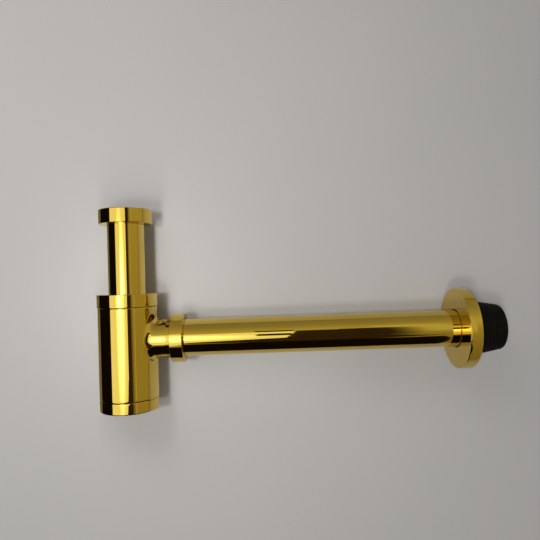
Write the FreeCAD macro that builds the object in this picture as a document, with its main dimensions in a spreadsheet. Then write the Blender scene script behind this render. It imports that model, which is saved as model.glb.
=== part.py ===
# Bottle trap for a wash basin: a screwed bottle, an inlet tube from above and an outlet tube to the wall.
# Millimetres. The origin is the centre of the union nut's mouth, +Z points up the bottle's axis,
# and +X runs along the outlet tube towards the wall.

import FreeCAD, Part
import Sketcher
import os

# Driving dimensions

SIZES = {
    # Gaps and edges that many pieces share
    "seam_gap": 0.2,
    "seat_gap": 0.05,
    "thread_clearance": 0.15,
    "nut_bore_clearance": 0.3,
    "ring_clearance": 0.2,
    "seal_clearance": 0.15,
    "seal_side_gap": 0.3,
    "seal_tip_width": 0.4,
    "o_ring_gap": 0.1,
    "groove_side_gap": 0.3,
    "seam_round": 0.3,
    "nut_edge_round": 0.6,
    "tube_wall": 1.0,
    # Union nut and the inlet tube's collar
    "inlet_tube_od": 32.0,
    "union_thread_bore": 38.95,
    "union_nut_wall": 3.375,
    "union_nut_height": 12.4,
    "union_lip": 2.0,
    "union_relief_depth": 0.7,
    "thread_runout": 0.35,
    "collar_clearance": 0.3,
    "collar_thickness": 1.6,
    "washer_thickness": 2.0,
    # Bottle
    "outlet_drop": 113.2,
    "body_rise": 28.2,
    "body_drop": 50.4,
    "body_wall": 2.1,
    "shoulder_thickness": 4.0,
    "inlet_neck_clearance": 0.5,
    "inlet_neck_height": 7.0,
    "inlet_neck_lip": 2.0,
    "inlet_seat_width": 4.0,
    "inlet_seat_depth": 4.5,
    # Clamp nut and what it squeezes
    "clamp_seal_head": 1.1,
    "clamp_ring_thickness": 1.2,
    "clamp_ring_edge_gap": 0.5,
    "clamp_nut_plate": 2.2,
    "clamp_nut_wall": 3.15,
    "clamp_nut_proud": 0.5,
    # Cleaning cup
    "cup_height": 9.7,
    "cup_floor": 3.0,
    "cup_spigot_height": 8.0,
    "cup_spigot_wall": 3.2,
    "cup_bottom_round": 1.0,
    "cup_groove_rise": 0.8,
    "cup_ring_section": 2.0,
    "dip_floor_gap": 18.5,
    # Branch
    "outlet_tube_od": 32.0,
    "branch_clearance": 0.3,
    "branch_wall": 0.8,
    "branch_reach": 39.0,
    "junction_round": 3.2,
    "flare_rise": 0.6,
    "flare_round": 8.0,
    "outlet_thread_length": 6.0,
    "outlet_seat_width": 1.8,
    "outlet_seat_depth": 4.0,
    "outlet_neck_lip": 1.0,
    # Outlet nut and what it squeezes
    "outlet_seal_head": 1.5,
    "outlet_ring_thickness": 1.2,
    "outlet_ring_edge_gap": 0.4,
    "outlet_nut_plate": 2.4,
    "outlet_nut_wall": 1.95,
    # Outlet tube, flange and wall seal
    "outlet_insertion": 18.0,
    "outlet_tube_length": 300.0,
    "tube_stub": 1.0,
    "wall_seal_length": 30.0,
    "wall_seal_gap": 0.3,
    "wall_seal_wall": 3.15,
    "wall_seal_taper": 5.4,
    "wall_seal_rib_depth": 0.8,
    "flange_od": 70.4,
    "flange_depth": 10.4,
    "flange_face": 2.2,
    "flange_rim": 2.2,
    "flange_edge_round": 1.2,
    "flange_bore_clearance": 0.55,
    "flange_hub_lip": 1.3,
    "flange_hub_end_wall": 2.0,
    "grip_groove_inset": 3.0,
    "grip_ring_section": 2.4,
}

# Each rib of the wall seal has a flat crest, a slope down to a valley and a slope up to the next crest,
# which begin at these shares of the rib's length

WALL_SEAL_RIBS = 9
RIB_CREST_SHARE = 0.6
RIB_VALLEY_SHARE = 0.85

# Share of the branch, from the junction's round to the thread, that flares out a little before the nut

FLARE_SHARE = 0.35

# Radii, heights and places along the outlet, worked out from the driving dimensions.
# Radii on the bottle's axis are called _radius, and heights are measured from the union nut's mouth.

PLACES = {
    # Radius of a point on the axis that a piece is turned about
    "turning_axis": "0",
    # Inlet tube and union nut
    "inlet_radius": "sizes.inlet_tube_od / 2",
    "inlet_bore_radius": "inlet_radius - sizes.tube_wall",
    "inlet_nut_bore_radius": "inlet_radius + sizes.nut_bore_clearance",
    "union_mouth": "0",
    "union_thread_radius": "sizes.union_thread_bore / 2",
    "union_relief_radius": "union_thread_radius + sizes.union_relief_depth",
    "union_outer_radius": "union_thread_radius + sizes.union_nut_wall",
    "union_bottom": "union_mouth - sizes.union_nut_height",
    "union_lip_top": "union_bottom + sizes.union_lip",
    "collar_radius": "union_thread_radius - sizes.collar_clearance",
    "collar_bottom": "union_lip_top + sizes.seat_gap",
    "collar_top": "collar_bottom + sizes.collar_thickness",
    "washer_top": "collar_top + sizes.washer_thickness",
    "union_thread_end": "washer_top + sizes.thread_runout",
    # Bottle's upper end, with the seat of the inlet tube's seal
    "outlet_axis": "union_mouth - sizes.outlet_drop",
    "body_top": "outlet_axis + sizes.body_rise",
    "body_bottom": "outlet_axis - sizes.body_drop",
    "inlet_neck_bore_radius": "inlet_radius + sizes.inlet_neck_clearance",
    "inlet_seat_radius": "inlet_neck_bore_radius + sizes.inlet_seat_width",
    "inlet_neck_radius": "inlet_seat_radius + sizes.inlet_neck_lip",
    "inlet_neck_top": "body_top + sizes.inlet_neck_height",
    "inlet_seat_bottom": "inlet_neck_top - sizes.inlet_seat_depth",
    "clamp_thread_radius": "inlet_neck_radius + sizes.thread_clearance",
    "clamp_outer_radius": "clamp_thread_radius + sizes.clamp_nut_wall",
    "body_outer_radius": "clamp_outer_radius - sizes.clamp_nut_proud",
    "body_inner_radius": "body_outer_radius - sizes.body_wall",
    "shoulder_bottom": "body_top - sizes.shoulder_thickness",
    # Stack under the clamp nut's plate
    "clamp_seal_inner_radius": "inlet_radius + sizes.seal_clearance",
    "clamp_seal_rim_radius": "inlet_seat_radius - sizes.seal_side_gap",
    "clamp_seal_tip_radius": "clamp_seal_inner_radius + sizes.seal_tip_width",
    "clamp_seal_tip_widening": "clamp_seal_tip_radius + sizes.seal_side_gap - inlet_neck_bore_radius",
    "inlet_seat_slope": "sizes.inlet_seat_width / sizes.inlet_seat_depth",
    "clamp_seal_tip": "inlet_seat_bottom + clamp_seal_tip_widening / inlet_seat_slope",
    "clamp_seal_top": "inlet_neck_top + sizes.clamp_seal_head",
    "clamp_ring_inner_radius": "inlet_radius + sizes.ring_clearance",
    "clamp_ring_outer_radius": "clamp_thread_radius - sizes.clamp_ring_edge_gap",
    "clamp_ring_bottom": "clamp_seal_top + sizes.seat_gap",
    "clamp_ring_top": "clamp_ring_bottom + sizes.clamp_ring_thickness",
    "clamp_plate_bottom": "clamp_ring_top + sizes.seat_gap",
    "clamp_top": "clamp_plate_bottom + sizes.clamp_nut_plate",
    "clamp_bottom": "body_top + sizes.seam_gap",
    # Cleaning cup
    "cup_rim_top": "body_bottom - sizes.seam_gap",
    "cup_bottom": "cup_rim_top - sizes.cup_height",
    "cup_floor_top": "cup_bottom + sizes.cup_floor",
    "cup_spigot_radius": "body_inner_radius - sizes.thread_clearance",
    "cup_bore_radius": "cup_spigot_radius - sizes.cup_spigot_wall",
    "cup_spigot_top": "cup_rim_top + sizes.cup_spigot_height",
    "cup_ring_thickness_radius": "sizes.cup_ring_section / 2",
    "cup_ring_radius": "body_inner_radius - sizes.o_ring_gap - cup_ring_thickness_radius",
    "cup_groove_radius": "cup_ring_radius - cup_ring_thickness_radius - sizes.o_ring_gap",
    "cup_groove_bottom": "cup_rim_top + sizes.cup_groove_rise",
    "cup_groove_top": "cup_groove_bottom + sizes.cup_ring_section + 2 * sizes.groove_side_gap",
    "cup_ring_height": "(cup_groove_bottom + cup_groove_top) / 2",
    "dip_end": "cup_floor_top + sizes.dip_floor_gap",
    # Branch with the seat of the outlet tube's seal, measured along the outlet from the bottle's axis
    "bottle_axis": "0",
    "outlet_radius": "sizes.outlet_tube_od / 2",
    "outlet_bore_radius": "outlet_radius - sizes.tube_wall",
    "outlet_nut_bore_radius": "outlet_radius + sizes.nut_bore_clearance",
    "branch_bore_radius": "outlet_radius + sizes.branch_clearance",
    "branch_outer_radius": "branch_bore_radius + sizes.branch_wall",
    "outlet_seat_radius": "branch_bore_radius + sizes.outlet_seat_width",
    "outlet_neck_radius": "outlet_seat_radius + sizes.outlet_neck_lip",
    "outlet_thread_radius": "outlet_neck_radius + sizes.thread_clearance",
    "outlet_nut_radius": "outlet_thread_radius + sizes.outlet_nut_wall",
    "branch_thread_start": "bottle_axis + sizes.branch_reach",
    "branch_lip_radius": "branch_outer_radius + sizes.flare_rise",
    "junction_end": "bottle_axis + body_outer_radius + sizes.junction_round",
    "branch_flare_start": f"branch_thread_start - {FLARE_SHARE} * (branch_thread_start - junction_end)",
    "branch_end": "branch_thread_start + sizes.outlet_thread_length",
    "outlet_seat_start": "branch_end - sizes.outlet_seat_depth",
    # Stack inside the outlet nut
    "outlet_seal_inner_radius": "outlet_radius + sizes.seal_clearance",
    "outlet_seal_rim_radius": "outlet_seat_radius - sizes.seal_side_gap",
    "outlet_seal_tip_radius": "outlet_seal_inner_radius + sizes.seal_tip_width",
    "outlet_seal_tip_widening": "outlet_seal_tip_radius + sizes.seal_side_gap - branch_bore_radius",
    "outlet_seat_slope": "sizes.outlet_seat_width / sizes.outlet_seat_depth",
    "outlet_seal_tip": "outlet_seat_start + outlet_seal_tip_widening / outlet_seat_slope",
    "outlet_seal_end": "branch_end + sizes.outlet_seal_head",
    "outlet_ring_inner_radius": "outlet_radius + sizes.ring_clearance",
    "outlet_ring_outer_radius": "outlet_thread_radius - sizes.outlet_ring_edge_gap",
    "outlet_ring_start": "outlet_seal_end + sizes.seat_gap",
    "outlet_ring_end": "outlet_ring_start + sizes.outlet_ring_thickness",
    "outlet_plate_start": "outlet_ring_end + sizes.seat_gap",
    "outlet_nut_end": "outlet_plate_start + sizes.outlet_nut_plate",
    "outlet_nut_start": "branch_thread_start + sizes.seam_gap",
    # Outlet tube, wall seal and flange, set out from the tube's wall end
    "outlet_tube_start": "branch_end - sizes.outlet_insertion",
    "outlet_tube_end": "outlet_tube_start + sizes.outlet_tube_length",
    "wall_seal_end": "outlet_tube_end - sizes.tube_stub",
    "wall_seal_start": "wall_seal_end - sizes.wall_seal_length",
    "wall_seal_bore_radius": "outlet_radius + sizes.seal_clearance",
    "wall_seal_small_radius": "wall_seal_bore_radius + sizes.wall_seal_wall",
    "wall_seal_large_radius": "wall_seal_small_radius + sizes.wall_seal_taper",
    "flange_hub_end": "wall_seal_start - sizes.wall_seal_gap",
    "grip_groove_end": "flange_hub_end - sizes.flange_hub_end_wall",
    "grip_groove_start": "grip_groove_end - sizes.grip_ring_section - 2 * sizes.groove_side_gap",
    "grip_ring_place": "(grip_groove_start + grip_groove_end) / 2",
    "flange_front": "grip_groove_start - sizes.grip_groove_inset",
    "flange_face_end": "flange_front + sizes.flange_face",
    "flange_back": "flange_front + sizes.flange_depth",
    "flange_outer_radius": "sizes.flange_od / 2",
    "flange_inner_radius": "flange_outer_radius - sizes.flange_rim",
    "flange_bore_radius": "outlet_radius + sizes.flange_bore_clearance",
    "grip_ring_thickness_radius": "sizes.grip_ring_section / 2",
    "grip_ring_radius": "outlet_radius + sizes.o_ring_gap + grip_ring_thickness_radius",
    "grip_groove_radius": "grip_ring_radius + grip_ring_thickness_radius + sizes.o_ring_gap",
    "flange_hub_radius": "grip_groove_radius + sizes.flange_hub_lip",
}


def add_rib_places():
    # The crests follow the seal's taper
    PLACES["rib_pitch"] = f"sizes.wall_seal_length / {WALL_SEAL_RIBS}"
    PLACES["rib_taper"] = f"sizes.wall_seal_taper / {WALL_SEAL_RIBS}"
    for rib in range(WALL_SEAL_RIBS):
        PLACES[f"rib_{rib}_start"] = f"wall_seal_start + {rib} * rib_pitch"
        PLACES[f"rib_{rib}_crest_end"] = f"rib_{rib}_start + {RIB_CREST_SHARE} * rib_pitch"
        PLACES[f"rib_{rib}_valley"] = f"rib_{rib}_start + {RIB_VALLEY_SHARE} * rib_pitch"
        PLACES[f"rib_{rib}_crest_radius"] = f"wall_seal_large_radius - {rib} * rib_taper"
        PLACES[f"rib_{rib}_valley_radius"] = f"rib_{rib}_crest_radius - sizes.wall_seal_rib_depth"


def add_sheet(name, cells):
    sheet = doc.addObject("Spreadsheet::Sheet", name)
    for row, (alias, content) in enumerate(cells.items(), start=1):
        sheet.set(f"A{row}", alias)
        sheet.set(f"B{row}", content)
        sheet.setAlias(f"B{row}", alias)
    doc.recompute()
    return sheet


def place(alias):
    return float(places.get(alias))


def outline(body, name, points, on_outlet):
    """A closed outline on the XZ plane. Each point is a pair of names from the sheet of places,
    radius first."""
    sketch = body.newObject("Sketcher::SketchObject", name)
    plane = next(item for item in body.Origin.OriginFeatures if item.Role == "XZ_Plane")
    sketch.AttachmentSupport = [(plane, "")]
    sketch.MapMode = "FlatFace"
    if on_outlet:
        sketch.setExpression("AttachmentOffset.Base.y", "places.outlet_axis")
    corners = []
    for radius, along in points:
        pair = (place(radius), place(along))
        across, up = reversed(pair) if on_outlet else pair
        corners.append(FreeCAD.Vector(across, up, 0))
    for start, end in zip(corners, corners[1:] + corners[:1]):
        sketch.addGeometry(Part.LineSegment(start, end), False)
    count = len(points)
    for line in range(count):
        sketch.addConstraint(Sketcher.Constraint("Coincident", line, 2, (line + 1) % count, 1))
    directions = ("DistanceY", "DistanceX") if on_outlet else ("DistanceX", "DistanceY")
    for line, (radius, along) in enumerate(points):
        bind(sketch, directions[0], line, radius)
        bind(sketch, directions[1], line, along)
    return sketch


def bind(sketch, direction, line, alias):
    # Holds a line's first point at a named distance from the sketch's origin
    constraint = Sketcher.Constraint(direction, -1, 1, line, 1, place(alias))
    index = sketch.addConstraint(constraint)
    sketch.setExpression(f"Constraints[{index}]", f"places.{alias}")


def revolve(body, kind, name, points, on_outlet=False):
    sketch = outline(body, f"{name}_outline", points, on_outlet)
    feature = body.newObject(f"PartDesign::{kind}", name)
    feature.Profile = sketch
    feature.ReferenceAxis = (sketch, ["H_Axis" if on_outlet else "V_Axis"])
    feature.Angle = 360
    sketch.Visibility = False
    doc.recompute()
    return feature


def round_edges(body, name, size, circles, on_outlet=False):
    # Rounds the circular edges at the given places, each a radius and a place along the axis
    tip = body.Tip
    wanted = [(place(radius), place(along)) for radius, along in circles]
    edges = []
    for number, edge in enumerate(tip.Shape.Edges, start=1):
        if not isinstance(edge.Curve, Part.Circle):
            continue
        centre = edge.Curve.Center
        along = centre.x if on_outlet else centre.z
        for radius, target in wanted:
            if abs(edge.Curve.Radius - radius) < TOLERANCE and abs(along - target) < TOLERANCE:
                edges.append(f"Edge{number}")
    add_fillet(body, name, tip, edges, size)


def add_fillet(body, name, base, edges, size):
    fillet = body.newObject("PartDesign::Fillet", name)
    fillet.Base = (base, edges)
    fillet.setExpression("Radius", size)
    doc.recompute()


def new_body(label):
    body = doc.addObject("PartDesign::Body", label)
    body.Label = label
    sub_parts.append(body)
    return body


def turned_piece(label, points, on_outlet=False):
    body = new_body(label)
    revolve(body, "Revolution", f"{label}_turning", points, on_outlet)
    return body


def ring_of_round_section(label, ring_radius, section_radius):
    ring = doc.addObject("Part::Torus", label)
    ring.Label = label
    ring.setExpression("Radius1", f"places.{ring_radius}")
    ring.setExpression("Radius2", f"places.{section_radius}")
    sub_parts.append(ring)
    return ring


# Inlet group

def make_union_nut():
    body = turned_piece("union_nut", [
        ("inlet_nut_bore_radius", "union_bottom"),
        ("union_outer_radius", "union_bottom"),
        ("union_outer_radius", "union_mouth"),
        ("union_thread_radius", "union_mouth"),
        ("union_thread_radius", "union_thread_end"),
        ("union_relief_radius", "union_thread_end"),
        ("union_relief_radius", "union_lip_top"),
        ("inlet_nut_bore_radius", "union_lip_top"),
    ])
    round_edges(body, "union_nut_edges", "sizes.nut_edge_round", [
        ("union_outer_radius", "union_bottom"),
        ("union_outer_radius", "union_mouth"),
    ])


def make_inlet_tube():
    turned_piece("inlet_tube", [
        ("inlet_bore_radius", "dip_end"),
        ("inlet_radius", "dip_end"),
        ("inlet_radius", "collar_bottom"),
        ("collar_radius", "collar_bottom"),
        ("collar_radius", "collar_top"),
        ("inlet_bore_radius", "collar_top"),
    ])


def make_inlet_washer():
    turned_piece("inlet_washer", [
        ("inlet_bore_radius", "collar_top"),
        ("collar_radius", "collar_top"),
        ("collar_radius", "washer_top"),
        ("inlet_bore_radius", "washer_top"),
    ])


def make_clamp_nut():
    body = turned_piece("clamp_nut", [
        ("clamp_thread_radius", "clamp_bottom"),
        ("clamp_outer_radius", "clamp_bottom"),
        ("clamp_outer_radius", "clamp_top"),
        ("inlet_nut_bore_radius", "clamp_top"),
        ("inlet_nut_bore_radius", "clamp_plate_bottom"),
        ("clamp_thread_radius", "clamp_plate_bottom"),
    ])
    round_edges(body, "clamp_nut_top_edge", "sizes.nut_edge_round", [("clamp_outer_radius", "clamp_top")])
    round_edges(body, "clamp_nut_seam_edge", "sizes.seam_round", [("clamp_outer_radius", "clamp_bottom")])


def make_clamp_friction_ring():
    turned_piece("clamp_friction_ring", [
        ("clamp_ring_inner_radius", "clamp_ring_bottom"),
        ("clamp_ring_outer_radius", "clamp_ring_bottom"),
        ("clamp_ring_outer_radius", "clamp_ring_top"),
        ("clamp_ring_inner_radius", "clamp_ring_top"),
    ])


def make_clamp_cone_seal():
    turned_piece("clamp_cone_seal", [
        ("clamp_seal_inner_radius", "clamp_seal_tip"),
        ("clamp_seal_tip_radius", "clamp_seal_tip"),
        ("clamp_seal_rim_radius", "inlet_neck_top"),
        ("clamp_seal_rim_radius", "clamp_seal_top"),
        ("clamp_seal_inner_radius", "clamp_seal_top"),
    ])


# Bottle

def make_trap_body():
    body = turned_piece("trap_body", [
        ("turning_axis", "body_bottom"),
        ("body_outer_radius", "body_bottom"),
        ("body_outer_radius", "body_top"),
        ("inlet_neck_radius", "body_top"),
        ("inlet_neck_radius", "inlet_neck_top"),
        ("turning_axis", "inlet_neck_top"),
    ])
    revolve(body, "Revolution", "branch", [
        ("turning_axis", "bottle_axis"),
        ("branch_outer_radius", "bottle_axis"),
        ("branch_outer_radius", "branch_flare_start"),
        ("branch_lip_radius", "branch_thread_start"),
        ("outlet_neck_radius", "branch_thread_start"),
        ("outlet_neck_radius", "branch_end"),
        ("turning_axis", "branch_end"),
    ], on_outlet=True)
    round_branch_junction(body)
    round_edges(body, "branch_flare", "sizes.flare_round", [
        ("branch_outer_radius", "branch_flare_start"),
    ], on_outlet=True)
    round_edges(body, "trap_body_seam_edges", "sizes.seam_round", [
        ("body_outer_radius", "body_top"),
        ("body_outer_radius", "body_bottom"),
    ])
    before = body.Tip.Shape.Volume
    revolve(body, "Groove", "bottle_inside", [
        ("turning_axis", "body_bottom"),
        ("body_inner_radius", "body_bottom"),
        ("body_inner_radius", "shoulder_bottom"),
        ("inlet_neck_bore_radius", "shoulder_bottom"),
        ("inlet_neck_bore_radius", "inlet_seat_bottom"),
        ("inlet_seat_radius", "inlet_neck_top"),
        ("turning_axis", "inlet_neck_top"),
    ])
    hollow = body.Tip.Shape.Volume
    revolve(body, "Groove", "branch_bore", [
        ("turning_axis", "bottle_axis"),
        ("branch_bore_radius", "bottle_axis"),
        ("branch_bore_radius", "outlet_seat_start"),
        ("outlet_seat_radius", "branch_end"),
        ("turning_axis", "branch_end"),
    ], on_outlet=True)
    if not body.Tip.Shape.Volume < hollow < before:
        raise RuntimeError("trap_body: a bore cut nothing")


def round_branch_junction(body):
    # The edge where the branch meets the bottle is the only one that is neither straight nor a circle
    tip = body.Tip
    edges = []
    for number, edge in enumerate(tip.Shape.Edges, start=1):
        if not isinstance(edge.Curve, (Part.Circle, Part.Line)):
            edges.append(f"Edge{number}")
    add_fillet(body, "branch_junction", tip, edges, "sizes.junction_round")


def make_cleaning_cup():
    body = turned_piece("cleaning_cup", [
        ("turning_axis", "cup_bottom"),
        ("body_outer_radius", "cup_bottom"),
        ("body_outer_radius", "cup_rim_top"),
        ("cup_spigot_radius", "cup_rim_top"),
        ("cup_spigot_radius", "cup_groove_bottom"),
        ("cup_groove_radius", "cup_groove_bottom"),
        ("cup_groove_radius", "cup_groove_top"),
        ("cup_spigot_radius", "cup_groove_top"),
        ("cup_spigot_radius", "cup_spigot_top"),
        ("cup_bore_radius", "cup_spigot_top"),
        ("cup_bore_radius", "cup_floor_top"),
        ("turning_axis", "cup_floor_top"),
    ])
    round_edges(body, "cup_bottom_edge", "sizes.cup_bottom_round", [("body_outer_radius", "cup_bottom")])
    round_edges(body, "cup_seam_edge", "sizes.seam_round", [("body_outer_radius", "cup_rim_top")])


def make_cup_o_ring():
    ring = ring_of_round_section("cup_o_ring", "cup_ring_radius", "cup_ring_thickness_radius")
    ring.setExpression("Placement.Base.z", "places.cup_ring_height")


# Outlet group

def make_outlet_nut():
    body = turned_piece("outlet_nut", [
        ("outlet_thread_radius", "outlet_nut_start"),
        ("outlet_nut_radius", "outlet_nut_start"),
        ("outlet_nut_radius", "outlet_nut_end"),
        ("outlet_nut_bore_radius", "outlet_nut_end"),
        ("outlet_nut_bore_radius", "outlet_plate_start"),
        ("outlet_thread_radius", "outlet_plate_start"),
    ], on_outlet=True)
    round_edges(body, "outlet_nut_edges", "sizes.nut_edge_round", [
        ("outlet_nut_radius", "outlet_nut_start"),
        ("outlet_nut_radius", "outlet_nut_end"),
    ], on_outlet=True)


def make_outlet_friction_ring():
    turned_piece("outlet_friction_ring", [
        ("outlet_ring_inner_radius", "outlet_ring_start"),
        ("outlet_ring_outer_radius", "outlet_ring_start"),
        ("outlet_ring_outer_radius", "outlet_ring_end"),
        ("outlet_ring_inner_radius", "outlet_ring_end"),
    ], on_outlet=True)


def make_outlet_cone_seal():
    turned_piece("outlet_cone_seal", [
        ("outlet_seal_inner_radius", "outlet_seal_tip"),
        ("outlet_seal_tip_radius", "outlet_seal_tip"),
        ("outlet_seal_rim_radius", "branch_end"),
        ("outlet_seal_rim_radius", "outlet_seal_end"),
        ("outlet_seal_inner_radius", "outlet_seal_end"),
    ], on_outlet=True)


def make_outlet_tube():
    turned_piece("outlet_tube", [
        ("outlet_bore_radius", "outlet_tube_start"),
        ("outlet_radius", "outlet_tube_start"),
        ("outlet_radius", "outlet_tube_end"),
        ("outlet_bore_radius", "outlet_tube_end"),
    ], on_outlet=True)


def make_wall_flange():
    body = turned_piece("wall_flange", [
        ("flange_bore_radius", "flange_front"),
        ("flange_outer_radius", "flange_front"),
        ("flange_outer_radius", "flange_back"),
        ("flange_inner_radius", "flange_back"),
        ("flange_inner_radius", "flange_face_end"),
        ("flange_hub_radius", "flange_face_end"),
        ("flange_hub_radius", "flange_hub_end"),
        ("flange_bore_radius", "flange_hub_end"),
        ("flange_bore_radius", "grip_groove_end"),
        ("grip_groove_radius", "grip_groove_end"),
        ("grip_groove_radius", "grip_groove_start"),
        ("flange_bore_radius", "grip_groove_start"),
    ], on_outlet=True)
    round_edges(body, "flange_rim_edges", "sizes.flange_edge_round", [
        ("flange_outer_radius", "flange_front"),
        ("flange_outer_radius", "flange_back"),
    ], on_outlet=True)


def make_flange_grip_ring():
    ring = ring_of_round_section("flange_grip_ring", "grip_ring_radius", "grip_ring_thickness_radius")
    ring.Placement.Rotation = FreeCAD.Rotation(FreeCAD.Vector(0, 1, 0), 90)
    ring.setExpression("Placement.Base.x", "places.grip_ring_place")
    ring.setExpression("Placement.Base.z", "places.outlet_axis")


def make_wall_seal():
    points = [("wall_seal_bore_radius", "wall_seal_start")]
    for rib in range(WALL_SEAL_RIBS):
        points += [
            (f"rib_{rib}_crest_radius", f"rib_{rib}_start"),
            (f"rib_{rib}_crest_radius", f"rib_{rib}_crest_end"),
        ]
        if rib < WALL_SEAL_RIBS - 1:
            points.append((f"rib_{rib}_valley_radius", f"rib_{rib}_valley"))
    last_crest = f"rib_{WALL_SEAL_RIBS - 1}_crest_radius"
    points[-1] = (last_crest, "wall_seal_end")
    points.append(("wall_seal_bore_radius", "wall_seal_end"))
    turned_piece("wall_seal", points, on_outlet=True)


def check_document():
    for item in doc.Objects:
        if "Invalid" in item.State or "Error" in item.State:
            raise RuntimeError(f"{item.Label} failed: {item.State}")
    for item in sub_parts:
        if item.Shape.isNull() or not item.Shape.isValid() or len(item.Shape.Solids) != 1:
            raise RuntimeError(f"{item.Label} is not one valid solid")


def write_parts():
    os.makedirs("parts", exist_ok=True)
    for item in sub_parts:
        item.Shape.exportStep(f"parts/{item.Label}.step")
        print(f"{item.Label}: {item.Shape.Volume:.1f} mm3, {len(item.Shape.Faces)} faces")


TOLERANCE = 1e-4

doc = FreeCAD.newDocument("bottle_trap")
sub_parts = []
add_rib_places()
sizes = add_sheet("sizes", {alias: str(value) for alias, value in SIZES.items()})
places = add_sheet("places", {alias: f"={formula}" for alias, formula in PLACES.items()})

make_union_nut()
make_inlet_tube()
make_inlet_washer()
make_clamp_nut()
make_clamp_friction_ring()
make_clamp_cone_seal()
make_trap_body()
make_cleaning_cup()
make_cup_o_ring()
make_outlet_nut()
make_outlet_friction_ring()
make_outlet_cone_seal()
make_outlet_tube()
make_wall_flange()
make_flange_grip_ring()
make_wall_seal()

doc.recompute()
check_document()
write_parts()
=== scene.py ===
import math

import bmesh
import bpy
from mathutils import Matrix, Vector


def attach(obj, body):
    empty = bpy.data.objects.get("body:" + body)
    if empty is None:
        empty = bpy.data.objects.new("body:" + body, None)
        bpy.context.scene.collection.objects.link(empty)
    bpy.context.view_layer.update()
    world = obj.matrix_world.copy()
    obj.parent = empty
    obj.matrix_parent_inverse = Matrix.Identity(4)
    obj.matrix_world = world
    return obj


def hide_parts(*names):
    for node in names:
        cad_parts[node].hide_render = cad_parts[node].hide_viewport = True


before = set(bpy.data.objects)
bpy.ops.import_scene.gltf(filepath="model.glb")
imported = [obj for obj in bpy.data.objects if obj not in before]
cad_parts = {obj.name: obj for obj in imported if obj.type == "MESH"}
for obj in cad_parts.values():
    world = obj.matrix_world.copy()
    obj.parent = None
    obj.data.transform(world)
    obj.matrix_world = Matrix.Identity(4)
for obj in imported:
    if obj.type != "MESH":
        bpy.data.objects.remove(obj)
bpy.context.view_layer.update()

# Lengths of the pieces are millimetres, as on the part's drawing, and become metres at the vertex

MM = 0.001
BOTTLE = "bottle"
OUTLET = "outlet"
OUTLET_AXIS = -113.2
TUBE = 16.0
TUBE_BORE = 15.0
NUT_BORE = 16.3
NUT_EDGE = 0.6
LEAD_IN = 0.3
RING_BORE = 16.2
RING_EDGE = 0.2
SEAL_BORE = 16.15
SCREW_PITCH = 1.5
WASTE_PITCH = 2.309

TURN_STEPS = 144
SAME_PLACE = 0.005
TINY = 1e-6
SHARP_ANGLE = math.radians(32)
POLISHED = 0
BARE = 1


# Turning outlines about the bottle's axis or the outlet's axis

def outline_point(axis, radius, along):
    if axis == BOTTLE:
        return Vector((radius, 0.0, along)) * MM
    return Vector((along, 0.0, OUTLET_AXIS + radius)) * MM


def turning_centre(axis):
    return Vector((0.0, 0.0, 0.0 if axis == BOTTLE else OUTLET_AXIS * MM))


def turning_direction(axis):
    return Vector((0.0, 0.0, 1.0)) if axis == BOTTLE else Vector((1.0, 0.0, 0.0))


def outward_from(axis, point):
    """The way from the axis to a point, square to the axis, in metres."""
    away = point - turning_centre(axis)
    direction = turning_direction(axis)
    return away - direction * away.dot(direction)


def radius_and_place(axis, point):
    """How far a point is from the axis and where it is along it, in millimetres."""
    return outward_from(axis, point).length / MM, point.dot(turning_direction(axis)) / MM


def spin_round(bm, geometry, axis):
    """Spins an outline all the way round and closes the seam."""
    bmesh.ops.spin(
        bm, geom=geometry, cent=turning_centre(axis), axis=turning_direction(axis),
        dvec=(0.0, 0.0, 0.0), angle=2 * math.pi, steps=TURN_STEPS, use_merge=True, use_duplicate=False,
    )
    close_up(bm)


def close_up(bm):
    bmesh.ops.remove_doubles(bm, verts=bm.verts, dist=TINY)
    bmesh.ops.recalc_face_normals(bm, faces=bm.faces)


def turn(axis, outline, closed=True):
    """Makes a turned piece from an outline of (radius, place) points."""
    bm = bmesh.new()
    verts = [bm.verts.new(outline_point(axis, radius, along)) for radius, along in outline]
    pairs = list(zip(verts, verts[1:]))
    if closed:
        pairs.append((verts[-1], verts[0]))
    edges = [bm.edges.new(pair) for pair in pairs]
    spin_round(bm, verts + edges, axis)
    return bm


def round_ring(bm, axis, radius, along, size, segments=5):
    """Rounds the ring edge at one corner of the turned outline."""
    ring = []
    for edge in bm.edges:
        places = [radius_and_place(axis, vert.co) for vert in edge.verts]
        if all(abs(r - radius) < SAME_PLACE and abs(a - along) < SAME_PLACE for r, a in places):
            ring.append(edge)
    bmesh.ops.bevel(
        bm, geom=ring, offset=size * MM, offset_type="OFFSET", segments=segments, profile=0.5,
        affect="EDGES", material=-1, clamp_overlap=True,
    )


def eased_edge(radius, edge, inward, length, towards):
    """Points of a polished-over edge, from the wall to the flat end: a quarter of an ellipse."""
    steps = 7
    points = []
    for step in range(steps + 1):
        swing = math.pi / 2 * step / steps
        along = edge + towards * length * (1 - math.sin(swing))
        points.append((radius - inward * (1 - math.cos(swing)), along))
    return points


def dull_bores(bm, axis):
    """Gives the walls that face the axis the second material, which is bare metal."""
    facing_axis = -0.5
    for face in bm.faces:
        outward = outward_from(axis, face.calc_center_median())
        if outward.length > TINY and face.normal.dot(outward.normalized()) < facing_axis:
            face.material_index = BARE


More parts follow.
